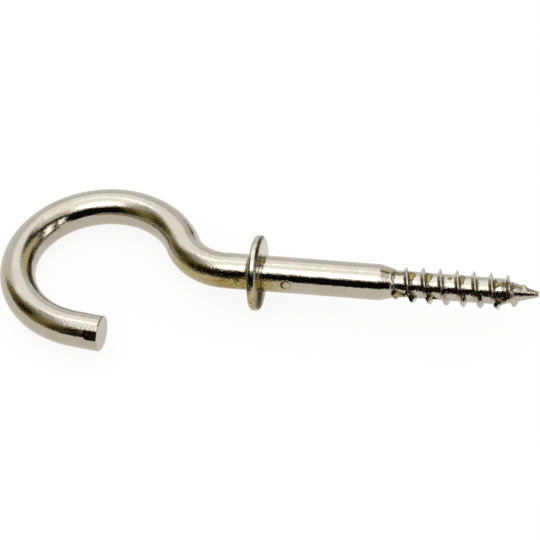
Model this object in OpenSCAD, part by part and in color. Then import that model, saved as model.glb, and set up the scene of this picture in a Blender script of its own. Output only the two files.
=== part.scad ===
// Screw hook: one length of plated steel wire. One end is bent into an open bowl, the middle is
// upset into a round collar, and the other end carries a wood-screw thread with a gimlet point.
// The origin is the centre of the collar's seat, the face that is drawn down on the wood.
// The screw points along +X and the hook lies behind it, with its plane along Y. The part lies
// on a table, on the rim of the collar and the back of the bowl, so the screw tilts up a little.

/* [Wire] */
// Diameter of the wire
wire_d = 4; // [3.6:0.1:5]
// Bevel round the cut end of the wire
end_bevel = 0.25; // [0.05:0.05:0.6]

/* [Hook] */
// Inside diameter of the bowl
bowl_d = 14.8; // [10:0.1:30]
// Angle that the bowl turns through
bowl_sweep = 234; // [180:1:270]
// Length of wire past the bowl, where the curve slackens
end_run = 3.55; // [1:0.05:8]
// Inside radius of the slack curve at the free end
end_bend_r = 78; // [20:1:120]
// Inside radius of the bend between the neck and the bowl
neck_bend_r = 4; // [2:0.1:10]
// Angle of the bend between the neck and the bowl
neck_angle = 63; // [30:1:85]
// Straight neck between the collar and the bend
neck_run = 3.15; // [1.5:0.05:10]

/* [Collar] */
// Diameter of the collar
collar_d = 8.4; // [7:0.1:14]
// Thickness of the collar
collar_t = 1; // [0.9:0.05:3]
// Rounding of the collar's rim
rim_r = 0.4; // [0.1:0.05:0.4]
// Fillet between the neck and the collar
collar_fillet = 0.5; // [0.1:0.05:0.6]

/* [Screw] */
// Length from the collar's seat to the tip
screw_len = 30.6; // [24:0.1:60]
// Length of the plain shank
shank_len = 13.1; // [4:0.1:16]
// Length of the shoulder that leads from the shank down to the thread
shoulder_len = 1.7; // [0.5:0.1:2]
// Diameter of the shoulder where the thread leaves it
shoulder_d = 3.1; // [3.1:0.05:3.6]
// Length of the tapered point
point_len = 4; // [3.5:0.1:6]
// Diameter of the blunt tip
tip_d = 0.6; // [0.3:0.05:0.8]

/* [Thread] */
// Diameter over the crests of the thread
thread_d = 3.95; // [3.3:0.05:4]
// Diameter of the core between the ridges
core_d = 2.9; // [2.4:0.05:3.05]
// Advance of the thread in one turn
pitch = 1.86; // [1.4:0.02:2.2]
// Width of the ridge at its foot
ridge_foot = 0.9; // [0.6:0.05:1.2]
// Width of the ridge at its crest
ridge_crest = 0.2; // [0.05:0.05:0.4]
// Turns over which the ridge rises to its full height
rise_turns = 2.4; // [1:0.1:3]
// Turns over which the ridge dies away at the point
fade_turns = 0.6; // [0.3:0.1:1]
// Bare length of the point in front of the thread
bare_tip = 0.8; // [0.7:0.1:1.5]
// Angle about the screw's axis at which the ridge begins
thread_angle = 162; // [0:1:360]

/* [Hidden] */
$fn = 96;
plate_colour = [0.80, 0.78, 0.73];

// Bending thins the wire a little, most in the neck's bend, and each bend runs on into the next
wire_r = wire_d / 2;
bend_thin = wire_r / 200;
bend_lap = wire_r / 20;
bowl_wire_r = wire_r - bend_thin;
bend_wire_r = wire_r - 2 * bend_thin;

// Hook in its own plane: the neck turns up, the bowl turns over the other way, then it slackens
bend_r = neck_bend_r + bend_wire_r;
bowl_r = bowl_d / 2 + bowl_wire_r;
end_r = end_bend_r + wire_r;
bend_centre = [-collar_t - neck_run, bend_r];
bend_to = 270;
bend_from = bend_to - neck_angle;
bowl_centre = bend_centre + (bend_r + bowl_r) * [cos(bend_from), sin(bend_from)];
bowl_from = bend_from - 180;
bowl_to = bowl_from + bowl_sweep;
end_centre = bowl_centre + (bowl_r - end_r) * [cos(bowl_to), sin(bowl_to)];
end_to = bowl_to + turn(end_run, end_r);

// Resting tilt: the collar's rim and the back of the bowl touch one level plane
collar_r = collar_d / 2;
rest_run = bowl_r - bowl_centre.x - collar_t + rim_r;
rest_drop = collar_r - rim_r;
rest_tilt = atan2(rest_drop, rest_run) - asin((bowl_wire_r - rim_r) / norm([rest_run, rest_drop]));

// Thread: a ridge of four lines wound on the core, from inside the shoulder to near the tip
core_r = core_d / 2;
tip_r = tip_d / 2;
ridge_h = thread_d / 2 - core_r;
ridge_lines = [-ridge_foot / 2, -ridge_crest / 2, ridge_crest / 2, ridge_foot / 2];
ridge_rise = [0, 1, 1, 0];
top_line = len(ridge_lines) - 1;
facets = 32;
root_bury = 0.1;
shoulder_to = shank_len + shoulder_len;
thread_from = shoulder_to - pitch - ridge_foot / 2 - root_bury;
thread_to = screw_len - bare_tip - ridge_foot / 2;
steps = floor((thread_to - thread_from) / pitch * facets);
last_turn = steps - facets;

// Half section of all that is round about the screw's axis: neck, collar, shank and shoulder
module axle_section() {
    translate([0, -collar_t - neck_run]) square([wire_r, neck_run + collar_t + shank_len]);
    fillet_section();
    collar_section();
    polygon([[0, shank_len], [wire_r, shank_len], [shoulder_d / 2, shoulder_to], [0, shoulder_to]]);
}

// Half section of the collar, with a rounded rim
module collar_section() {
    translate([0, -collar_t]) square([collar_r - rim_r, collar_t]);
    translate([0, rim_r - collar_t]) square([collar_r, collar_t - 2 * rim_r]);
    for (y = [-rim_r, rim_r - collar_t]) translate([collar_r - rim_r, y]) circle(rim_r);
}

// Half section of the fillet between the neck and the collar
module fillet_section() {
    difference() {
        translate([0, -collar_t - collar_fillet]) square([wire_r + collar_fillet, collar_fillet]);
        translate([wire_r + collar_fillet, -collar_t - collar_fillet]) circle(collar_fillet);
    }
}

// Neck, collar, plain shank and shoulder, turned about the screw's axis
module axle() {
    rotate([0, 90, 0]) rotate_extrude() axle_section();
}

// Angle turned by a length of wire bent to a radius
function turn(length, radius) = length / radius * 180 / PI;

// Wire with a section radius, bent round a centre in the hook's plane, from one angle to another
module bent_wire(centre, radius, from, to, section_r) {
    translate(centre) rotate_extrude(angle = to - from, start = from)
        translate([radius, 0]) circle(section_r);
}

// Bend between the neck and the bowl, run on into both
module neck_bend() {
    lap = turn(bend_lap, bend_r);
    bent_wire(bend_centre, bend_r, bend_from - lap, bend_to + lap, bend_wire_r);
}

// Bowl, run on into the free end
module bowl() {
    bent_wire(bowl_centre, bowl_r, bowl_from, bowl_to + turn(bend_lap, bowl_r), bowl_wire_r);
}

// Ring that cuts the bevel round a wire's end: a section with one slanting side
module bevel_ring() {
    reach = wire_r / 2;
    inner = wire_r - end_bevel - reach;
    outer = wire_r + reach;
    rotate_extrude() polygon([[inner, reach], [outer, -end_bevel - reach], [outer, reach]]);
}

// Free end of the wire: the slack curve, cut off square and bevelled
module free_end() {
    difference() {
        bent_wire(end_centre, end_r, bowl_to, end_to, wire_r);
        translate(end_centre) rotate(end_to) translate([end_r, 0, 0]) rotate([-90, 0, 0]) bevel_ring();
    }
}

// Radius of the core at a distance from the seat: straight, then tapering to the tip
function core_at(z) = core_r - (core_r - tip_r) * max(0, z - screw_len + point_len) / point_len;

// Height of the ridge at a step of the thread: it rises, stays full and dies away
function ridge_at(step) =
    let (turns_in = step / facets, turns_left = (steps - step) / facets)
    ridge_h * min(1, turns_in / rise_turns, turns_left / fade_turns);

// Point at a radius and a distance from the seat, at the angle of a step
function around(step, radius, z) =
    let (angle = thread_angle + 360 * step / facets)
    [radius * cos(angle), radius * sin(angle), z];

// Point on one of the ridge's lines, at one step along the thread
function ridge_point(step, line) =
    let (z = thread_from + pitch * step / facets + ridge_lines[line])
    around(step, core_at(z) + ridge_at(step) * ridge_rise[line], z);

// Places in the list of points: on the ridge, on the ring inside the shoulder, on the tip's ring
function on_ridge(step, line) = len(ridge_lines) * step + line;
function on_root(step) = on_ridge(steps + 1, 0) + step % facets;
function on_tip(step) = on_root(0) + facets + step % facets;

// Two triangles between four points, and the triangles from one point to a chain of points
function quad(a, b, c, d) = [[a, b, c], [a, c, d]];
function fan(apex, chain) = [for (i = [0:len(chain) - 2]) [apex, chain[i], chain[i + 1]]];

// Points of the threaded core: the ridge's lines, then the rings at the root and the tip
function thread_points() = [
    for (step = [0:steps], line = [0:top_line]) ridge_point(step, line),
    for (step = [0:facets - 1]) around(step, core_r, thread_from - ridge_foot / 2 - root_bury),
    for (step = [0:facets - 1]) around(last_turn + step, tip_r, screw_len)
];

// Faces of the ridge, and of the core between one turn of the ridge and the next
function winding_faces() = [
    for (step = [0:steps - 1], line = [0:top_line - 1])
        each quad(on_ridge(step, line), on_ridge(step, line + 1),
                  on_ridge(step + 1, line + 1), on_ridge(step + 1, line)),
    for (step = [0:last_turn - 1])
        each quad(on_ridge(step, top_line), on_ridge(step + facets, 0),
                  on_ridge(step + facets + 1, 0), on_ridge(step + 1, top_line))
];

// Faces from the ring inside the shoulder up to the first turn, with the step where it starts
function root_faces() = [
    [for (step = [0:facets - 1]) on_root(step)],
    for (step = [0:facets - 2])
        each quad(on_root(step), on_ridge(step, 0), on_ridge(step + 1, 0), on_root(step + 1)),
    each fan(on_ridge(facets - 1, 0), [
        on_ridge(facets, 0),
        for (line = [top_line:-1:0]) on_ridge(0, line),
        on_root(0),
        on_root(facets - 1)
    ])
];

// Faces from the last turn out to the tip's ring, with the step where the turn ends
function tip_faces() = [
    [for (step = [facets - 1:-1:0]) on_tip(step)],
    for (step = [1:facets - 1])
        each quad(on_ridge(last_turn + step, top_line), on_tip(step),
                  on_tip(step + 1), on_ridge(last_turn + step + 1, top_line)),
    each fan(on_ridge(last_turn + 1, top_line), [
        on_ridge(last_turn, top_line),
        for (line = [0:top_line]) on_ridge(steps, line),
        on_tip(0),
        on_tip(1)
    ])
];

// Threaded core and gimlet point
module thread() {
    rotate([0, 90, 0])
        polyhedron(points = thread_points(), faces = concat(winding_faces(), root_faces(), tip_faces()));
}

// The whole hook, tilted as it lies at rest
module screw_hook() {
    color(plate_colour) rotate([0, -rest_tilt, 0]) {
        axle();
        neck_bend();
        bowl();
        free_end();
        thread();
    }
}

screw_hook();
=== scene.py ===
"""Looks of the screw hook: the plated wire with its bowl, collar and thread, on a pale studio floor.

Lengths in the shapes are in millimetres, in the hook's own axes: u along the screw from the collar's
seat towards the tip, v across it in the hook's plane, w square to both. "Along" is the distance along
the wire from the seat, so it runs from the cut end of the hook, which is negative, to the tip. "Angle"
is round the wire, from v towards w: 133 degrees faces the camera, and 223 is the lower edge in its view.
"""

import bpy
import numpy as np
from mathutils import Matrix, Vector


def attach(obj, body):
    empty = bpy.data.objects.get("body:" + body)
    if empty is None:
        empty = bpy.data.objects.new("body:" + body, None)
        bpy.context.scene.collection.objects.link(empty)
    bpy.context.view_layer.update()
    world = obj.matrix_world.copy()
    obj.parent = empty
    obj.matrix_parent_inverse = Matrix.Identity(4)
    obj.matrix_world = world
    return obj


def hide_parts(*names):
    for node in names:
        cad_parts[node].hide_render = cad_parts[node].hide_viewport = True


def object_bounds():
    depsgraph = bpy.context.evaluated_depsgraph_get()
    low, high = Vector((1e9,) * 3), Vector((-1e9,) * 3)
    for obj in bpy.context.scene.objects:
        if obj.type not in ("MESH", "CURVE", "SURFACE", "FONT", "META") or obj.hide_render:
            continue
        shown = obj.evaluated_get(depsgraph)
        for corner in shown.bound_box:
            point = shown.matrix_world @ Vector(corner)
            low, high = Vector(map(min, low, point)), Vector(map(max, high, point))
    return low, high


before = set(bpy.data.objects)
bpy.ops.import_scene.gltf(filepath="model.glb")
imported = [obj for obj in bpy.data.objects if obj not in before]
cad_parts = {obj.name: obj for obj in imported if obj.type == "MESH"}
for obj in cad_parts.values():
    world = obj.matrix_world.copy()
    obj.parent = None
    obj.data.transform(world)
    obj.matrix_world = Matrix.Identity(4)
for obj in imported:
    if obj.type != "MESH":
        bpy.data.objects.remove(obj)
cad_low, cad_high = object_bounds()

MM = 0.001

# Wire and hook: the skin lies a hair inside the solid, and bending thins the wire
SKIN_INSET = 0.008
WIRE_R = 2.0 - SKIN_INSET
BEND_THIN = 0.01
BEND_R, BEND_TURN = 5.98, np.radians(63)
BOWL_R, BOWL_TURN = 9.39, np.radians(234)
END_R, END_RUN = 80.0, 3.55
NECK_AT = -4.15
BEND_AT = NECK_AT - BEND_R * BEND_TURN
BOWL_AT = BEND_AT - BOWL_R * BOWL_TURN
CUT_AT = BOWL_AT - END_RUN
BEND_EASE = 0.8
CUT_EDGE = 0.2

# Collar
COLLAR_R, COLLAR_T = 4.2 - SKIN_INSET, 1.0
RIM_R = 0.4
COLLAR_FILLET = 0.5
SEAT_FILLET = 0.08

# Resting tilt: the collar's rim and the back of the bowl touch one level floor
BACK_RUN = BOWL_R - COLLAR_T + RIM_R - NECK_AT + (BEND_R + BOWL_R) * np.sin(BEND_TURN)
BACK_RISE = WIRE_R - BEND_THIN - RIM_R
RIM_DROP = COLLAR_R - RIM_R
REST_TILT = np.arctan2(RIM_DROP, BACK_RUN) - np.arcsin(BACK_RISE / np.hypot(BACK_RUN, RIM_DROP))

# Shank, shoulder and point
SHANK_TO, SHOULDER_TO, TIP_AT = 13.1, 14.8, 30.6 - SKIN_INSET
SHOULDER_R, CORE_R, TIP_R = 1.55, 1.45, 0.3
SHOULDER_EASE, SHOULDER_STEP = 0.12, 0.1
POINT_FROM = 26.6
TIP_EDGE = 0.12

# Thread: a ridge with a slow flank on the collar's side, a narrow crest and a fast flank beyond it
PITCH = 1.86
THREAD_FROM, THREAD_TO = 12.39, 29.35
THREAD_TURN = np.radians(162 - 90)
RIDGE_H = 0.525
SLOW_FOOT, SLOW_RUN = 0.44, 0.37
FAST_FOOT, FAST_RUN = 0.33, 0.26
FLANK_POWER = 1.5
RISE_TURNS, FADE_TURNS = 2.4, 0.6
# Band just past the fast flank's foot, where painted shade is laid
BESIDE_AT, BESIDE_WIDTH = 0.42, 0.22
HOLLOW_EASE = 0.4

# Flat left by the cutter's jaw near the cut end, with a slanting step where it stops
FLAT_TURN, FLAT_REACH = np.radians(36), np.radians(60)
FLAT_DEPTH, FLAT_LENGTH = 0.08, 1.4
FLAT_SLANT, FLAT_STEP = 0.7, 0.13
FLAT_ZONE = CUT_AT + 2 * FLAT_LENGTH

# Spacing of the skin's rings along each stretch, and the points round each ring
CUT_CENTRE_R = 0.25
FACE_SPACING = 0.2
FLAT_SPACING, WIRE_SPACING = 0.05, 0.3
STAINED_TO, STAINED_SPACING = 4.0, 0.1
SHANK_SPACING = 0.4
SCREW_FROM, SCREW_SPACING = SHANK_TO - 0.5, 0.042
COLUMNS = 116

# The lists of marks below give the distance along, the angle round in degrees, the length and the width

# Caked deposits on the thread
RESIDUE = (
    (14.9, 172, 0.35, 0.30),
    (15.9, 182, 0.30, 0.25),
    (16.5, 177, 0.40, 0.35),
    (16.95, 195, 0.35, 0.45),
    (18.7, 178, 0.30, 0.30),
    (19.4, 192, 0.30, 0.35),
    (22.6, 180, 0.15, 0.40),
    (24.4, 172, 0.15, 0.30),
    (26.3, 185, 0.40, 0.55),
    (27.1, 170, 0.35, 0.30),
)
RESIDUE_H = 0.08

# Dark olive: painted dark reflection on the mirrored dark band in the bowl, neck and bend; patches by the
# cut end
OLIVE_PATCHES = (
    (-37.0, 140, 4.5, 0.45),
    (-41.5, 132, 2.0, 0.40),
    (-6.3, 142, 2.7, 0.80),
    (-3.0, 153, 1.6, 0.32),
    (-2.4, 167, 0.45, 0.25),
    (-44.4, 50, 2.2, 0.35),
    (-49.8, 45, 1.4, 0.30),
)

# Brown marks: painted shade in the collar's corners, and stains between the thread's ridges
BROWN_STAINS_AND_SHADE = (
    (0.15, 92, 0.55, 1.0),
    (0.1, 215, 0.6, 1.2),
    (-1.35, 120, 0.25, 2.0),
    (15.4, 84, 0.80, 0.50),
    (16.8, 88, 0.45, 0.90),
    (18.65, 88, 0.50, 0.75),
    (20.9, 90, 0.30, 0.40),
    (22.3, 82, 0.35, 0.90),
    (26.8, 100, 0.90, 0.60),
    (15.2, 180, 0.80, 0.60),
    (15.6, 200, 0.60, 0.50),
    (17.0, 190, 0.50, 0.60),
    (19.0, 185, 0.60, 0.60),
    (22.6, 178, 0.25, 0.50),
    (24.4, 172, 0.20, 0.40),
    (26.6, 178, 0.70, 0.80),
)
# Spread of the painted corner shade out on the collar, and share of painted shade at each ridge's foot
CORNER_SHADE_SPREAD, FOOT_SHADE = 0.9, 0.5

# Specks on the collar's rim, and the radius from which they show
RIM_SPECKS = (
    (-0.55, 186, 0.30, 0.12),
    (-0.30, 178, 0.20, 0.10),
    (-0.75, 194, 0.25, 0.12),
    (-0.40, 203, 0.25, 0.12),
)
SPECKS_FROM, SPECKS_EASE = 3.2, 0.3
SPECKS_SHARE = 0.7

# Dried ring on the shank beside the collar, heaviest towards the collar
RING_AT, RING_TURN = 3.05, np.radians(168)
RING_R, RING_WIDTH = 0.50, 0.21
RING_SHARE, RING_LEAN, RING_SIDES = 0.72, 0.24, 0.25

# Painted dark reflection on the rim: middle and spread along, middle in degrees and spread round, and
# strength
RIM_PAINTED_DARK = ((-0.10, 0.20, 85, 0.85, 1.5), (-0.70, 0.42, 147, 0.27, 1.5))
# Radius from which the painted dark shows on the rim, and its ease
RIM_PAINTED_DARK_FROM, RIM_PAINTED_DARK_EASE = 3.5, 0.3
# Painted shade on the rim's lower half: its middle in radians, its spread and its strength
LOW_RIM_SHADE_TURN, LOW_RIM_SHADE_SPREAD = np.radians(195), 0.6
LOW_RIM_SHADE_SHARE = 0.6

# Painted shade on the collar's seat: its lower half, thinner outwards, and a patch of painted rim shadow
# above
SEAT_EASE, SEAT_DEPTH = 0.1, 0.2
LOW_SEAT_SHADE_TURN, LOW_SEAT_SHADE_SPREAD = np.radians(212), 0.8
LOW_SEAT_SHADE_SHARE, LOW_SEAT_SHADE_FALL = 1.4, 0.3
RIM_SHADOW_TURN, RIM_SHADOW_SPREAD = np.radians(110), 0.25
RIM_SHADOW_R, RIM_SHADOW_WIDTH = 3.6, 0.6
RIM_SHADOW_SHARE = 0.8

# Yellow tarnish on the neck, its bend and the shank: middle and spread along the wire, and strength
TARNISH = ((-3.0, 2.6, 1.0), (-8.0, 3.5, 0.7), (1.0, 3.0, 0.8))
TARNISH_FROM, TARNISH_FROM_EASE = np.radians(125), 0.5
TARNISH_TO, TARNISH_TO_EASE = np.radians(300), 0.8
TARNISH_ABOVE, TARNISH_RIM_LOSS = 0.08, 0.35
TARNISH_RIM_FROM, TARNISH_RIM_EASE = 2.6, 1.0

# Ragged black line along the thread: painted dark reflection, carrying on the shank's mirrored dark band
PAINTED_LINE_TURN, PAINTED_LINE_WIDTH = np.radians(148), np.radians(16)
PAINTED_LINE_TO, PAINTED_LINE_EASE = 28.4, 0.8
PAINTED_LINE_SHARE, PAINTED_LINE_ON_RIDGE = 0.80, 0.7

# Colours of the plating, of what lies on it, and of the shade and dark reflection painted on it
PLATE_BRIGHT = (0.49, 0.445, 0.362, 1)
PLATE_DULL = (0.435, 0.392, 0.308, 1)
TARNISH_YELLOW = (0.40, 0.31, 0.11, 1)
TARNISH_BROWN = (0.21, 0.135, 0.012, 1)
# Inside and outline of the stains, and of the painted shade in the corners and at the ridges' feet
GOLD_OF_STAIN_AND_SHADE = (0.34, 0.245, 0.045, 1)
EDGE_OF_STAIN_AND_SHADE = (0.05, 0.03, 0.004, 1)
# Olive of the patches and the ring, and of the painted dark reflection and painted shade
OLIVE_OF_GRIME_AND_PAINTED_DARK = (0.05, 0.042, 0.012, 1)
# Painted shade and painted rim shadow on the collar's seat
SEAT_SHADE_OLIVE = (0.075, 0.055, 0.012, 1)
# Black of the crusted lumps, and of the painted dark reflection line on the thread
BLACK_OF_LUMPS_AND_PAINTED_LINE = (0.006, 0.004, 0.0015, 1)
PIT_BROWN = (0.10, 0.08, 0.05, 1)

# Heights of the plating's unevenness
RIPPLE_H, GRAIN_H, SPECK_H, STREAK_H = 0.015, 0.010, 0.006, 0.006
SPECKLE_H, CRUST_H, SOILED_H, PIT_H = 0.015, 0.03, 0.02, 0.02

# Floor and lamps, in metres: each lamp's name, place, size, radiance and colour
FLOOR_REACH = 4.0
FLOOR_PAPER = (0.86, 0.85, 0.82, 1)
FLOOR_GLOW = 0.88
LAMPS = (
    ("top_lamp", (-0.12, -0.06, 0.62), (0.50, 0.72), 0.68, (0.75, 0.86, 1.0)),
    ("key_lamp", (-0.03, -0.255, 0.60), (0.44, 0.33), 0.75, (0.88, 0.94, 1.0)),
)

# Surround wall: its distance in metres, its grid, and the degrees of elevation that it covers
WALL_DISTANCE = 0.9
WALL_COLUMNS, WALL_ROWS = 241, 70
WALL_LOW, WALL_HIGH = -1, 68

# Places on the wall, in degrees: left, right and their softness, then low, high and their softness
BRIGHT_PANES = ((62, 72, 2, 18, 43, 3), (82, 98, 2, 11, 43, 3))
OLIVE_SHEET = (112, 186, 16, 14, 43, 10)
BACK_PANE = (-190, -108, 10, 34, 68, 10)
HAZE = (-114, -52, 20, 40, 62, 12)
TOP_STRIP = (-42, 48, 10, 46, 90, 4)

# Dark side of the wall, in degrees: its ends, its top edge with the place, length and height of each
# step that raises it, and its low edge, which is lifted between two azimuths
DARK_LEFT, DARK_LEFT_SOFT = -115, 10
DARK_RIGHT, DARK_RIGHT_SOFT = 177, 18
DARK_TOP = 30
DARK_TOP_STEPS = ((-106, 8, 15), (2, 12, 7), (50, 20, 7))
DARK_LOW, DARK_LIFT = -20, 33
DARK_LIFTED = (50, 84, 14)
DARK_SOFT = 7

# Brown on the dark side, up to an azimuth: stripes with their middle, width and depth, and paler edges
# with the elevation where each starts, its run and its light
BROWN_TO, BROWN_SOFT = -29, 9
BROWN_STRIPES = ((-84, 15, 0.22), (-42, 13, 0.231))
BROWN_EDGES = ((10, -10, 0.22), (26, 10, 0.14))

# Azimuth where the olive side starts
OLIVE_FROM, OLIVE_SOFT = 60, 8

# Front of the wall in azimuth, and the elevation up to which the back is cooler
FRONT = (-125, 125, 30)
COOL_TO, COOL_SOFT = 34, 20

# Light of the wall's parts
WHITE_LEVEL, BLACK_LEVEL = 0.96, 0.006
BROWN_LEVEL, OLIVE_LEVEL, OLIVE_FRAME = 0.27, 0.60, 0.03
BROWN_LIGHT = np.array([1.12, 0.95, 0.34])
OLIVE_LIGHT = np.array([1.22, 1.15, 0.72])
COOL_TINT = np.array([0.0, 0.06, 0.18])
COOL_LIGHT = np.array([0.55, 0.62, 0.76])
PANE_LIGHT, STRIP_LIGHT, HAZE_LOSS = np.full(3, 2.4), np.full(3, 0.8), np.full(3, 0.3)

# Camera: place in metres, directions, and focal length in pixels of the square photograph
CAMERA_AT = Vector((0.045752, -0.255852, 0.283162))
CAMERA_AHEAD = Vector((-0.1169, 0.6667, -0.7361))
CAMERA_UP = Vector((-0.1320, 0.7242, 0.6768))
FOCAL_PIXELS, PHOTO_PIXELS = 3497, 540
SENSOR_WIDTH = 36


def smooth(x):
    """Eased step: 0 below 0, 1 above 1, and 3x² - 2x³ in between."""
    x = np.clip(x, 0, 1)
    return x * x * (3 - 2 * x)


def bell(x, middle, width):
    """Hump of height 1 round a middle: e to the minus square of the distance over the width."""
    return np.exp(-(((x - middle) / width) ** 2))


def band(value, low, high, soft):
    """Share 1 between two values and 0 outside them, eased over a soft width at both edges."""
    return smooth((value - low) / soft + 0.5) * smooth((high - value) / soft + 0.5)


def running_sum(values, step):
    """Integral up to each sample, by trapezia, counted back from the last one."""
    total = np.concatenate([[0.0], np.cumsum((values[1:] + values[:-1]) / 2 * step)])
    return total - total[-1]


def wire_path(along):
    """Centre line of the wire: u, v and heading at each distance along it.

    The curvature is 1 over the radius of each bend, turned one way in the neck and the other in the
    bowl, and eased where one bend meets the next. The heading is its integral from the seat, and u and
    v are the integrals of the heading's cosine and sine. Past the seat the wire is straight.
    """
    step = 0.01
    fine = np.arange(CUT_AT - 1, step / 2, step)
    changes = (
        (BOWL_AT, 1 / END_R - 1 / BOWL_R),
        (BEND_AT, 1 / BOWL_R + 1 / BEND_R),
        (NECK_AT, -1 / BEND_R),
    )
    curvature = -1 / END_R + sum(jump * smooth((fine - at) / BEND_EASE + 0.5) for at, jump in changes)
    heading = running_sum(curvature, step)
    u = np.interp(along, fine, running_sum(np.cos(heading), step))
    v = np.interp(along, fine, running_sum(np.sin(heading), step))
    return np.where(along < 0, u, along), v, np.interp(along, fine, heading)


def at_rest(u, v, w):
    """Points in metres in the part's frame: the screw's axis turned up about v by the resting tilt."""
    c, s = np.cos(REST_TILT), np.sin(REST_TILT)
    return np.stack([u * c - w * s, v, u * s + w * c], -1) * MM


def wire_points(along, radius, angle):
    """Points at a radius and an angle round the centre line; angle 0 is across in the hook's plane."""
    u, v, heading = wire_path(along)
    across = radius * np.cos(angle)
    return at_rest(u - np.sin(heading) * across, v + np.cos(heading) * across, radius * np.sin(angle))


def arc(along, radius, size, start, stop, count):
    """Points of a quarter round in the profile: its centre, its radius and two angles from the axis."""
    a = np.radians(np.linspace(start, stop, count))
    return np.stack([along + size * np.cos(a), radius + size * np.sin(a)], -1)


def line(along_1, radius_1, along_2, radius_2, spacing):
    """Points of a straight run in the profile, about a spacing apart."""
    count = max(2, int(round(np.hypot(along_2 - along_1, radius_2 - radius_1) / spacing)) + 1)
    return np.stack([np.linspace(along_1, along_2, count), np.linspace(radius_1, radius_2, count)], -1)


def hook_profile():
    """Distance along the wire and radius of every ring, from the cut end to the blunt tip.

    The cut face, its rounded edge, the bent wire, the fillet up to the collar, the collar with its
    rounded rim, the shank, the stretch of the shoulder and thread, and the tip follow each other. That
    stretch is laid out as wide as the wire, and gets its own radius later.
    """
    neck_to, neck_r = -COLLAR_T - COLLAR_FILLET, WIRE_R + COLLAR_FILLET
    rim = COLLAR_R - RIM_R
    seat_r = WIRE_R + SEAT_FILLET
    return np.concatenate([
        line(CUT_AT, CUT_CENTRE_R, CUT_AT, WIRE_R - CUT_EDGE, FACE_SPACING),
        arc(CUT_AT + CUT_EDGE, WIRE_R - CUT_EDGE, CUT_EDGE, 170, 90, 6),
        line(CUT_AT + CUT_EDGE, WIRE_R, FLAT_ZONE, WIRE_R, FLAT_SPACING)[1:],
        line(FLAT_ZONE, WIRE_R, neck_to, WIRE_R, WIRE_SPACING)[1:],
        arc(neck_to, neck_r, COLLAR_FILLET, 280, 355, 7),
        line(-COLLAR_T, neck_r, -COLLAR_T, rim, FACE_SPACING),
        arc(RIM_R - COLLAR_T, rim, RIM_R, 170, 90, 8),
        arc(-RIM_R, rim, RIM_R, 90, 10, 8),
        line(0, rim, 0, seat_r, FACE_SPACING),
        arc(SEAT_FILLET, seat_r, SEAT_FILLET, 200, 270, 4),
        line(SEAT_FILLET, WIRE_R, STAINED_TO, WIRE_R, STAINED_SPACING)[1:],
        line(STAINED_TO, WIRE_R, SCREW_FROM, WIRE_R, SHANK_SPACING)[1:],
        line(SCREW_FROM, WIRE_R, TIP_AT - TIP_EDGE, WIRE_R, SCREW_SPACING)[1:],
        line(TIP_AT, TIP_R, TIP_AT, TIP_R / 3, TIP_R / 3),
    ])


def screw_radius(along):
    """Radius of the screw's body: the shank, a cone with an eased start, the core, the point."""
    fall = np.clip((along - SHANK_TO) / (SHOULDER_TO - SHANK_TO), 0, 1)
    eased = np.sqrt(fall ** 2 + SHOULDER_EASE ** 2) - SHOULDER_EASE
    shoulder = WIRE_R - (WIRE_R - SHOULDER_R) * eased / (np.hypot(1, SHOULDER_EASE) - SHOULDER_EASE)
    core = CORE_R - (CORE_R - TIP_R) * np.clip((along - POINT_FROM) / (TIP_AT - POINT_FROM), 0, 1)
    step = smooth((along - SHOULDER_TO) / SHOULDER_STEP)
    return shoulder * (1 - step) + core * step


def ridge_share(along, angle):
    """Height of the thread as a share of its full height, and the share of surface just beside it.

    The distance to the nearest winding is taken along the axis: the place along, less the pitch times
    the turns made so far. The ridge climbs slowly on the collar's side and falls faster on the other,
    on hollow flanks. It rises over the first turns and dies away at the point.
    """
    turns = (along - THREAD_FROM) / PITCH
    winding = turns - (angle - THREAD_TURN) / (2 * np.pi)
    off = (winding - np.round(winding)) * PITCH
    climb = np.clip((off + SLOW_FOOT) / SLOW_RUN, 0, 1)
    fall = np.clip((FAST_FOOT - off) / FAST_RUN, 0, 1)
    turns_in = turns - off / PITCH
    turns_left = (THREAD_TO - THREAD_FROM) / PITCH - turns_in
    envelope = np.clip(np.minimum(turns_in / RISE_TURNS, turns_left / FADE_TURNS), 0, 1)
    ridge = np.minimum(climb, fall) ** FLANK_POWER * envelope
    return ridge, bell(off, BESIDE_AT, BESIDE_WIDTH) * envelope


def blots(places, along, angle):
    """Share of a marked surface: a hump at each place on the unrolled wire, with a length and a width."""
    total = 0
    for at, turn, length, width in places:
        across = WIRE_R * ((angle - np.radians(turn) + np.pi) % (2 * np.pi) - np.pi)
        total = total + bell(np.hypot((along - at) / length, across / width), 0, 1)
    return np.clip(total, 0, 1)


def bent_and_cut(along, angle, radius):
    """Radius of the wire after bending and cutting.

    The neck's bend is twice as much thinner as the bowl. The cutter's flat is a plane at a depth, whose
    radius is its distance from the axis over the cosine of the angle, up to a slanting step.
    """
    thinner = 2 * smooth((NECK_AT - along) / BEND_EASE + 0.5) - smooth((BEND_AT - along) / BEND_EASE + 0.5)
    radius = radius - BEND_THIN * thinner * (radius >= WIRE_R)
    flat_to = CUT_AT + FLAT_LENGTH + FLAT_SLANT * (angle - FLAT_TURN)
    depth = FLAT_DEPTH * smooth((flat_to - along) / FLAT_STEP + 0.5)
    flat = (WIRE_R - depth) / np.cos(np.minimum(np.abs(angle - FLAT_TURN), FLAT_REACH))
    return np.where(along < FLAT_ZONE, np.minimum(radius, flat), radius)


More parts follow.
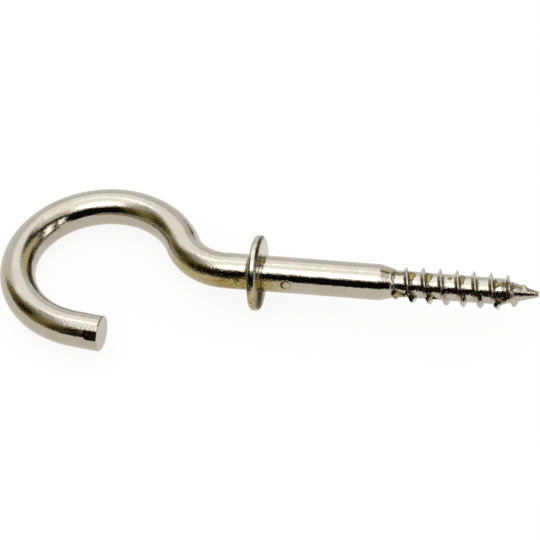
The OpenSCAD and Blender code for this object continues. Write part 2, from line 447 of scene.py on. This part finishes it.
def screw_hook_skin():
    """Rings of points over the whole wire, with shares per point: the hollow, its edge and the residue.

    Each ring is a circle round the centre line. On the screw the radius is the body's, or the core's
    plus the ridge's where that is more, with a little added where deposits have crusted.
    """
    along, radius = hook_profile().T
    angle = np.linspace(0, 2 * np.pi, COLUMNS, endpoint=False)
    radius = np.repeat(radius[:, None], COLUMNS, axis=1)
    along, angle = np.meshgrid(along, angle, indexing="ij")
    radius = bent_and_cut(along, angle, radius)
    screw = (along > SCREW_FROM) & (along < TIP_AT - TIP_EDGE / 2)
    ridge, beside = np.where(screw, ridge_share(along, angle), 0)
    body = screw_radius(along)
    radius = np.where(screw, np.maximum(body, np.minimum(body, CORE_R) + RIDGE_H * ridge), radius)
    hollow = np.where(screw, smooth((along - SHOULDER_TO) / HOLLOW_EASE) * (1 - ridge), 0)
    residue = np.where(screw, blots(RESIDUE, along, angle), 0)
    return along, angle, radius + RESIDUE_H * residue, hollow, beside, residue


def tarnish_places(along, angle, radius):
    """Share of yellow tarnish: humps along the wire, full on the lower side and faint above.

    Out on the collar's rim there is less of it.
    """
    start, stop = (angle - TARNISH_FROM) / TARNISH_FROM_EASE, (TARNISH_TO - angle) / TARNISH_TO_EASE
    below = smooth(start) * smooth(stop)
    spread = sum(share * bell(along, middle, width) for middle, width, share in TARNISH)
    kept = 1 - TARNISH_RIM_LOSS * smooth((radius - TARNISH_RIM_FROM) / TARNISH_RIM_EASE)
    return np.clip(spread * (TARNISH_ABOVE + (1 - TARNISH_ABOVE) * below) * kept, 0, 1)


def stain_and_shade_places(along, angle, radius, beside):
    """Share of brown: painted shade in the collar's corners, specks on its rim, and stains on the thread.

    The painted corner shade fades outwards on the collar. On the thread the stains lie at their places,
    and painted shade lies all along the foot of the ridge.
    """
    corner_shade = bell(np.maximum(radius - WIRE_R, 0), 0, CORNER_SHADE_SPREAD)
    on_rim = SPECKS_SHARE * smooth((radius - SPECKS_FROM) / SPECKS_EASE)
    specks = on_rim * blots(RIM_SPECKS, along, angle)
    return np.clip(blots(BROWN_STAINS_AND_SHADE, along, angle) * corner_shade + specks + FOOT_SHADE * beside, 0, 1)


def grime_and_painted_dark_places(along, angle, radius):
    """Share of olive: patches on the wire, the ring on the shank, and painted dark on three sides of the
    rim.

    The ring is a hump round a circle, strongest towards the collar. On the rim, painted dark reflection
    lies along the seat's upper edge and across the part that faces the camera, and painted shade lies
    thinly on the lower half.
    """
    ahead, across = along - RING_AT, WIRE_R * (angle - RING_TURN)
    side = np.cos(np.arctan2(across, ahead))
    weight = RING_SHARE - RING_LEAN * side + RING_SIDES * side ** 2
    ring = weight * bell(np.hypot(ahead, across), RING_R, RING_WIDTH)
    on_rim = LOW_RIM_SHADE_SHARE * bell(angle, LOW_RIM_SHADE_TURN, LOW_RIM_SHADE_SPREAD)
    for at, length, turn, spread, share in RIM_PAINTED_DARK:
        on_rim = on_rim + share * bell(along, at, length) * bell(angle, np.radians(turn), spread)
    rim = smooth((radius - RIM_PAINTED_DARK_FROM) / RIM_PAINTED_DARK_EASE)
    return np.clip(blots(OLIVE_PATCHES, along, angle) + ring + rim * on_rim, 0, 1)


def seat_shade_places(along, angle, radius):
    """Share of painted shade on the seat: its lower half, and the rim's painted shadow in a patch above."""
    out = radius - WIRE_R
    seat = smooth(out / SEAT_EASE) * smooth(along / SEAT_DEPTH + 1) * (along < SEAT_FILLET)
    lower = bell(angle, LOW_SEAT_SHADE_TURN, LOW_SEAT_SHADE_SPREAD) * (LOW_SEAT_SHADE_SHARE - LOW_SEAT_SHADE_FALL * out)
    patch = bell(angle, RIM_SHADOW_TURN, RIM_SHADOW_SPREAD) * bell(radius, RIM_SHADOW_R, RIM_SHADOW_WIDTH)
    return np.clip(seat * (lower + RIM_SHADOW_SHARE * patch), 0, 1)


def lumps_and_painted_line_places(along, angle, hollow, residue):
    """Share of black: crusted lumps, and a painted dark reflection line on the thread, mostly between
    ridges.
    """
    thread = smooth((along - SHOULDER_TO) / PAINTED_LINE_EASE) * smooth((PAINTED_LINE_TO - along) / PAINTED_LINE_EASE)
    painted_line = PAINTED_LINE_SHARE * thread * bell(angle, PAINTED_LINE_TURN, PAINTED_LINE_WIDTH)
    return np.clip(residue + painted_line * (PAINTED_LINE_ON_RIDGE + (1 - PAINTED_LINE_ON_RIDGE) * hollow), 0, 1)


def closed_skin(name, rings, poles):
    """Mesh of four-sided faces between neighbouring rings, closed by a fan at the pole of each end."""
    count, columns = rings.shape[:2]
    points = np.concatenate([rings.reshape(-1, 3), poles])
    place = np.arange(count * columns).reshape(count, columns)
    here, there = place[:-1], place[1:]
    sides = np.stack([there, np.roll(there, -1, 1), np.roll(here, -1, 1), here], -1).reshape(-1, 4)
    first, last = np.full(columns, count * columns), np.full(columns, count * columns + 1)
    start = np.stack([first, place[0], np.roll(place[0], -1)], -1)
    stop = np.stack([last, np.roll(place[-1], -1), place[-1]], -1)
    mesh = bpy.data.meshes.new(name)
    mesh.from_pydata(points, [], [*sides.tolist(), *start.tolist(), *stop.tolist()])
    mesh.shade_smooth()
    piece = bpy.data.objects.new(name, mesh)
    bpy.context.collection.objects.link(piece)
    return piece


def open_sheet(name, points):
    """Mesh of four-sided faces over a grid of points, for the floor and the studio's wall."""
    rows, columns = points.shape[:2]
    place = np.arange(rows * columns).reshape(rows, columns)
    faces = np.stack([place[:-1, :-1], place[:-1, 1:], place[1:, 1:], place[1:, :-1]], -1).reshape(-1, 4)
    mesh = bpy.data.meshes.new(name)
    mesh.from_pydata(points.reshape(-1, 3), [], faces.tolist())
    sheet = bpy.data.objects.new(name, mesh)
    bpy.context.collection.objects.link(sheet)
    return sheet


def keep_share(piece, name, values):
    """Stores one number per point of a piece, which its material reads by name; the poles get none."""
    full = np.append(values.ravel(), [0, 0]).astype(np.float32)
    piece.data.attributes.new(name, "FLOAT", "POINT").data.foreach_set("value", full)


def keep_unrolled(piece, along, angle):
    """Stores where each point is on the drawn wire: an eighth of the distance along, and the circle."""
    drawn = np.stack([along / 8, WIRE_R * np.cos(angle), WIRE_R * np.sin(angle)], -1).reshape(-1, 3)
    full = np.concatenate([drawn, np.zeros((2, 3))]).astype(np.float32)
    piece.data.attributes.new("drawn", "FLOAT_VECTOR", "POINT").data.foreach_set("vector", full.ravel())


class Signal:
    """A socket that takes part in Python expressions: each operator adds a Math node to its tree."""

    def __init__(self, tree, socket=None):
        self.tree, self.socket = tree, socket

    def node(self, kind, settings, sockets, out=0):
        """Adds a node of a type, sets it up, fills its sockets with values or links, gives one output."""
        made = self.tree.nodes.new(kind)
        for key, value in settings.items():
            setattr(made, key, value)
        for key, value in sockets.items():
            if isinstance(value, Signal):
                self.tree.links.new(value.socket, made.inputs[key])
            else:
                made.inputs[key].default_value = value
        return Signal(self.tree, made.outputs[out] if made.outputs else None)

    def math(self, operation, first, second):
        """Two values joined by one operation."""
        return self.node("ShaderNodeMath", {"operation": operation}, {0: first, 1: second})

    def __add__(self, other):
        return self.math("ADD", self, other)

    def __sub__(self, other):
        return self.math("SUBTRACT", self, other)

    def __mul__(self, other):
        return self.math("MULTIPLY", self, other)

    def __rsub__(self, other):
        return self.math("SUBTRACT", other, self)

    __radd__ = __add__
    __rmul__ = __mul__

    def larger(self, other):
        """The larger of this value and another."""
        return self.math("MAXIMUM", self, other)

    def step(self, low, high):
        """Eased step of this value from 0 at low to 1 at high."""
        return self.node("ShaderNodeMapRange", {"interpolation_type": "SMOOTHSTEP"},
                         {"Value": self, "From Min": low, "From Max": high})

    def mix(self, first, second):
        """Colour mixed from first to second by this value."""
        return self.node("ShaderNodeMix", {"data_type": "RGBA"}, {0: self, 6: first, 7: second}, 2)

    def noise(self, scale, detail, roughness=0.5):
        """Noise at this vector, between 0 and 1, with about scale waves in each millimetre."""
        return self.node("ShaderNodeTexNoise", {},
                         {"Vector": self, "Scale": scale, "Detail": detail, "Roughness": roughness})

    def cells(self, scale):
        """Distance from this vector to the nearest of scattered points, in shares of their spacing."""
        return self.node("ShaderNodeTexVoronoi", {}, {"Vector": self, "Scale": scale})

    def grown(self, scale):
        """This vector multiplied by a scale."""
        return self.node("ShaderNodeVectorMath", {"operation": "MULTIPLY"}, {0: self, 1: (scale,) * 3})

    def attribute(self, name, out):
        """What the points of a piece store under a name: out 0 is a colour, 1 a vector, 2 a number."""
        return self.node("ShaderNodeAttribute", {"attribute_name": name}, {}, out)


def new_material(name):
    """Empty node material, and a signal to start its expressions from."""
    material = bpy.data.materials.new(name)
    material.use_nodes = True
    material.node_tree.nodes.clear()
    return material, Signal(material.node_tree)


def output(start, shader):
    """Ends a material's tree with its shader."""
    start.node("ShaderNodeOutputMaterial", {}, {"Surface": shader})


def nickel_plate():
    """Bright nickel plating: warm, wavy, drawn along the wire, pitted and soiled, with painted shade
    and painted dark reflection where the stored shares put them.

    Noise breaks up each stored share. Tarnish, the olive ring and patches with the rim's painted dark,
    and the inside of the brown marks only tint the metal. The seat's painted shade, the black lumps with
    the painted dark line, and the brown marks' dark outline also make it matt.
    """
    material, start = new_material("nickel_plate")
    place = start.node("ShaderNodeTexCoord", {}, {}, 3).grown(1 / MM)
    drawn = start.attribute("drawn", 1)
    tarnish_share = start.attribute("tarnish", 2)
    # Stored shares, carrying painted shade and painted dark reflection as well as soiling
    stain_and_shade_share = start.attribute("stain_and_shade", 2)
    lumps_and_painted_line_share = start.attribute("lumps_and_painted_line", 2)
    grime_and_painted_dark_share = start.attribute("grime_and_painted_dark", 2)
    seat_shade_share = start.attribute("seat_shade", 2)
    hollow_share = start.attribute("hollow", 2)

    # Noise from coarse to fine
    cloud = place.noise(0.35, 3)
    ripple = place.noise(1.5, 2)
    patch = place.noise(2.0, 4, 0.65)
    crust = place.noise(2.4, 4, 0.65)
    grain = place.noise(4.5, 2, 0.6)
    speckle = place.noise(5.0, 3, 0.7)
    spots = place.noise(6.5, 2, 0.6).step(0.53, 0.63)
    speck = place.noise(8.0, 1)
    streak = drawn.noise(3.5, 2, 0.6)
    pit = 1 - place.cells(0.33).step(0.02, 0.055)
    pinhole = 1 - place.cells(1.2).step(0.05, 0.12)

    # Soiling, painted shade and painted dark reflection
    tarnish = (tarnish_share * patch * 2).step(0.25, 1.0)
    deep = (tarnish_share * speckle * 2).step(0.80, 1.25)
    # Brown: stains on the thread and rim, and painted shade in the collar's corners and at each ridge's foot
    stain_and_shade_level = stain_and_shade_share * speckle * 2
    inside = stain_and_shade_level.step(0.72, 0.92)
    outline = stain_and_shade_level.step(0.48, 0.62) * (1 - inside).larger(spots)
    # Olive: the ring, patches, and painted dark reflection and painted shade on the bowl, neck and rim
    grime_and_painted_dark = (grime_and_painted_dark_share * (patch * 0.6 + speckle * 1.4)).step(0.50, 1.0)
    # Painted shade on the collar's seat, with the rim's painted shadow
    seat_shade = seat_shade_share * (patch * 0.8 + 0.6)
    # Black: crusted lumps, and a painted dark reflection line along the thread
    lumps_and_line_level = lumps_and_painted_line_share * ((speckle - 0.5) * 4.0 + (crust - 0.5) * 1.6 + 1)
    # Matt share: black lumps, outlines of the brown marks, and the painted shade and painted dark line
    matt_dirt_and_shade = (seat_shade * 0.9).larger((outline * outline * 0.8).larger(lumps_and_line_level.step(0.40, 0.52)))

    # Colour, from the plate up
    colour = (cloud * 0.5 + speck * 0.5).step(0.35, 0.65).mix(PLATE_BRIGHT, PLATE_DULL)
    colour = (tarnish * 0.9).mix(colour, TARNISH_YELLOW)
    colour = deep.mix(colour, TARNISH_BROWN)
    # Gold inside the brown marks, in part painted shade
    colour = (inside * crust * 1.7).mix(colour, GOLD_OF_STAIN_AND_SHADE)
    # Olive, in part painted dark reflection and painted shade
    colour = grime_and_painted_dark.mix(colour, OLIVE_OF_GRIME_AND_PAINTED_DARK)
    # Painted shade on the seat
    colour = seat_shade.mix(colour, SEAT_SHADE_OLIVE)
    # Dark outline of the brown marks, in part painted shade
    colour = (outline * 0.9).mix(colour, EDGE_OF_STAIN_AND_SHADE)
    # Black lumps, and the painted dark reflection line
    colour = lumps_and_line_level.step(0.38, 0.46).mix(colour, BLACK_OF_LUMPS_AND_PAINTED_LINE)
    colour = (pit * 0.8 + pinhole * 0.4).mix(colour, PIT_BROWN)

    # Roughness and height
    rough = 0.055 + streak * 0.04 + tarnish * 0.06 + matt_dirt_and_shade * 0.4
    height = ripple * RIPPLE_H + grain * GRAIN_H + speck * SPECK_H + streak * STREAK_H
    height = height + hollow_share * speckle * SPECKLE_H + (hollow_share + stain_and_shade_share) * crust * CRUST_H
    height = height + (tarnish_share + grime_and_painted_dark_share) * grain * SOILED_H - pit * PIT_H
    bump = start.node("ShaderNodeBump", {}, {"Height": height, "Strength": 1.0, "Distance": MM})
    shader = start.node("ShaderNodeBsdfPrincipled", {}, {
        "Base Color": colour,
        "Roughness": rough,
        "Metallic": 1 - matt_dirt_and_shade,
        "Specular IOR Level": 0.0,
        "Normal": bump,
    })
    output(start, shader)
    return material


def shown_rays(start):
    """1 for rays from the camera and for mirrored and passed-on ones, 0 for rays that only light."""
    camera, mirrored, passed = [start.node("ShaderNodeLightPath", {}, {}, ray) for ray in (0, 3, 6)]
    return camera.larger(mirrored.larger(passed))


def floor_paper():
    """Pale matt paper under the hook, shown as white with the hook's soft shadow on it."""
    material, start = new_material("floor_paper")
    paper = start.node("ShaderNodeBsdfPrincipled", {}, {
        "Base Color": FLOOR_PAPER,
        "Roughness": 1.0,
        "Specular IOR Level": 0.0,
    })
    white = start.node("ShaderNodeEmission", {}, {"Color": (1, 1, 1, 1), "Strength": 1.0})
    glow = shown_rays(start) * FLOOR_GLOW
    output(start, start.node("ShaderNodeMixShader", {}, {0: glow, 1: paper, 2: white}))
    return material


def wall_patch(azimuth, elevation, place):
    """Share of a soft-edged rectangle on the wall: a band of azimuth times a band of elevation."""
    return band(azimuth, *place[:3]) * band(elevation, *place[3:])


def tinted(share, light):
    """A light of three colours in proportion to a share."""
    return share[..., None] * light


def surround_colour(azimuth, elevation):
    """Colour of the studio's wall by direction from the hook, with azimuth 0 towards -Y, in degrees.

    White all round, cooler at the back. A dark side stands behind the camera, black in the middle, with
    brown stripes to its left and an olive sheet framed in black to its right. Two bright panes stand
    between the black and the olive, and a bright strip lies over the black.
    """
    top = DARK_TOP + sum(rise * smooth((azimuth - at) / over) for at, over, rise in DARK_TOP_STEPS)
    low = DARK_LOW + DARK_LIFT * band(azimuth, *DARK_LIFTED)
    left, right = (azimuth - DARK_LEFT) / DARK_LEFT_SOFT, (DARK_RIGHT - azimuth) / DARK_RIGHT_SOFT
    dark = band(elevation, low, top, DARK_SOFT) * smooth(left) * smooth(right)
    stripes = sum(depth * bell(azimuth, middle, width) for middle, width, depth in BROWN_STRIPES)
    edges = sum(light * smooth((elevation - at) / run) for at, run, light in BROWN_EDGES)
    brown = (BROWN_LEVEL - stripes + edges) * smooth((BROWN_TO - azimuth) / BROWN_SOFT)
    sheet = OLIVE_FRAME + OLIVE_LEVEL * wall_patch(azimuth, elevation, OLIVE_SHEET)
    olive = sheet * smooth((azimuth - OLIVE_FROM) / OLIVE_SOFT)
    panes = sum(wall_patch(azimuth, elevation, place) for place in BRIGHT_PANES)
    shade = BLACK_LEVEL + tinted(brown, BROWN_LIGHT) + tinted(olive, OLIVE_LIGHT) + tinted(panes, PANE_LIGHT)
    cool = (1 - band(azimuth, *FRONT)) * smooth((COOL_TO - elevation) / COOL_SOFT)
    white = WHITE_LEVEL + tinted(cool, COOL_TINT)
    white = white + tinted(wall_patch(azimuth, elevation, BACK_PANE), COOL_LIGHT)
    white = white - tinted(wall_patch(azimuth, elevation, HAZE), HAZE_LOSS)
    white = white + tinted(wall_patch(azimuth, elevation, TOP_STRIP), STRIP_LIGHT)
    return white + tinted(dark, shade - white)


def surround_wall():
    """Wall bent round the hook as a cylinder, coloured by direction, that only the metal mirrors."""
    around, upwards = np.linspace(-180, 180, WALL_COLUMNS), np.linspace(WALL_LOW, WALL_HIGH, WALL_ROWS)
    azimuth, elevation = np.meshgrid(around, upwards, indexing="ij")
    a, e = np.radians(azimuth), np.radians(elevation)
    wall = open_sheet("surround_wall", np.stack([np.sin(a), -np.cos(a), np.tan(e)], -1) * WALL_DISTANCE)
    tint = np.ones((azimuth.size, 4), np.float32)
    tint[:, :3] = surround_colour(azimuth, elevation).reshape(-1, 3)
    wall.data.attributes.new("tint", "FLOAT_COLOR", "POINT").data.foreach_set("color", tint.ravel())
    material, start = new_material("surround_wall")
    colour = start.attribute("tint", 0)
    output(start, start.node("ShaderNodeEmission", {}, {"Color": colour, "Strength": 1.0}))
    wall.data.materials.append(material)
    wall.visible_camera = False
    wall.visible_diffuse = False
    wall.visible_shadow = False
    wall.visible_transmission = False
    wall.visible_volume_scatter = False


def soft_lamp(name, place, size, radiance, colour):
    """Level soft lamp over the hook: its power is four times its radiance times its area."""
    data = bpy.data.lights.new(name, "AREA")
    data.shape = "RECTANGLE"
    data.size, data.size_y = size
    data.energy = 4 * radiance * size[0] * size[1]
    data.color = colour
    lamp = bpy.data.objects.new(name, data)
    lamp.location = place
    bpy.context.collection.objects.link(lamp)


def studio(floor_z):
    """Pale floor, soft lamps overhead, a wall for the metal to mirror, and white light all round."""
    far = np.array([-FLOOR_REACH, 0, FLOOR_REACH])
    x, y = np.meshgrid(far, far, indexing="ij")
    floor = open_sheet("floor", np.stack([x, y, np.full_like(x, floor_z)], -1))
    floor.data.materials.append(floor_paper())
    for lamp in LAMPS:
        soft_lamp(*lamp)
    surround_wall()
    world = bpy.data.worlds.new("surround")
    bpy.context.scene.world = world
    world.use_nodes = True
    world.node_tree.nodes.clear()
    start = Signal(world.node_tree)
    light = start.node("ShaderNodeBackground", {}, {"Color": (1, 1, 1, 1), "Strength": 1.0})
    start.node("ShaderNodeOutputWorld", {}, {"Surface": light})


def photo_camera():
    """Camera at the photograph's place: looking down along the screw's side, with a long lens."""
    data = bpy.data.cameras.new("camera")
    data.sensor_width = SENSOR_WIDTH
    data.lens = FOCAL_PIXELS / PHOTO_PIXELS * SENSOR_WIDTH
    data.clip_start, data.clip_end = 0.01, 20
    camera = bpy.data.objects.new("camera", data)
    ahead = CAMERA_AHEAD.normalized()
    right = ahead.cross(CAMERA_UP).normalized()
    up = right.cross(ahead)
    turn = Matrix((right, up, -ahead)).transposed()
    camera.matrix_world = Matrix.Translation(CAMERA_AT) @ turn.to_4x4()
    bpy.context.collection.objects.link(camera)
    bpy.context.scene.camera = camera


def screw_hook():
    """The hook's one piece: its skin, its soiling and painted shade, its finish and its place in the frame.
    """
    along, angle, radius, hollow, beside, residue = screw_hook_skin()
    poles = wire_points(np.array([CUT_AT, TIP_AT]), np.zeros(2), np.zeros(2))
    hook = closed_skin("plated_wire_hook", wire_points(along, radius, angle), poles)
    keep_unrolled(hook, along, angle)
    keep_share(hook, "tarnish", tarnish_places(along, angle, radius))
    # The next four shares carry painted shade and painted dark reflection as well as soiling
    keep_share(hook, "stain_and_shade", stain_and_shade_places(along, angle, radius, beside))
    keep_share(hook, "lumps_and_painted_line", lumps_and_painted_line_places(along, angle, hollow, residue))
    keep_share(hook, "grime_and_painted_dark", grime_and_painted_dark_places(along, angle, radius))
    keep_share(hook, "seat_shade", seat_shade_places(along, angle, radius))
    keep_share(hook, "hollow", hollow)
    hook.data.materials.append(nickel_plate())
    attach(hook, "root")
    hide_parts("screw_hook")


screw_hook()
studio(cad_low.z)
photo_camera()
bpy.context.scene.view_settings.view_transform = "Standard"
